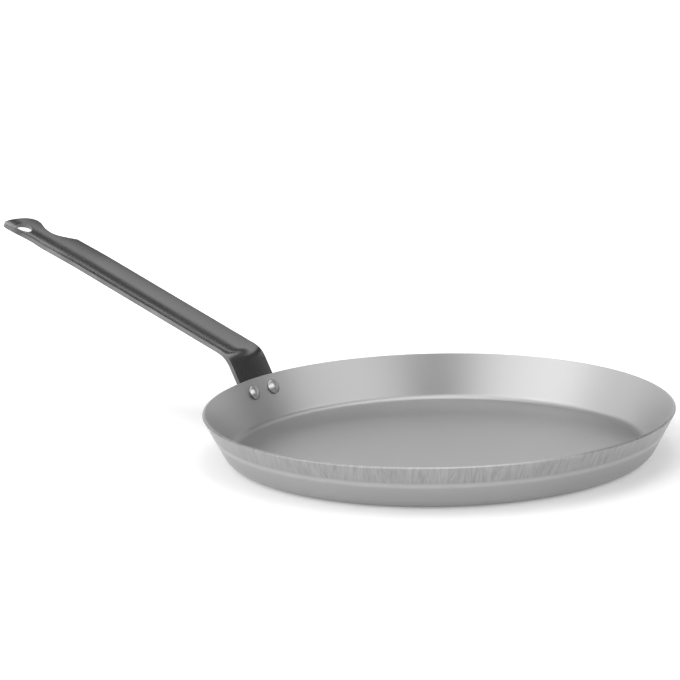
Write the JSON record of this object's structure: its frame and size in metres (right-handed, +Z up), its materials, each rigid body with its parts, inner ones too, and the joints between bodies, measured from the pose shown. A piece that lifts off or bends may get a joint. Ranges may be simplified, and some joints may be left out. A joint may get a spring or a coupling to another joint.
{
  "type": "crepe pan",
  "caption": "Shallow round steel pan with low flared walls, a ground band below the rim and a rising pressed-strip handle with a hanging eye, held by rivets.",
  "frame": {"origin": "centre of the flat resting face under the pan", "axes": "+Z up, the handle points along -X, +Y across the handle"},
  "size_m": [0.4829, 0.2796, 0.1063],
  "materials": {
    "pan_steel": "plain spun sheet steel, satin, with a ground band below the rim",
    "handle_steel": "dark satin coating on pressed strip steel",
    "rivet_steel": "bright domed rivet heads"
  },
  "bodies": {
    "root": {"pan_body": "pan_steel", "handle": "handle_steel", "rivet_left": "rivet_steel", "rivet_right": "rivet_steel"}
  },
  "joints": []
}
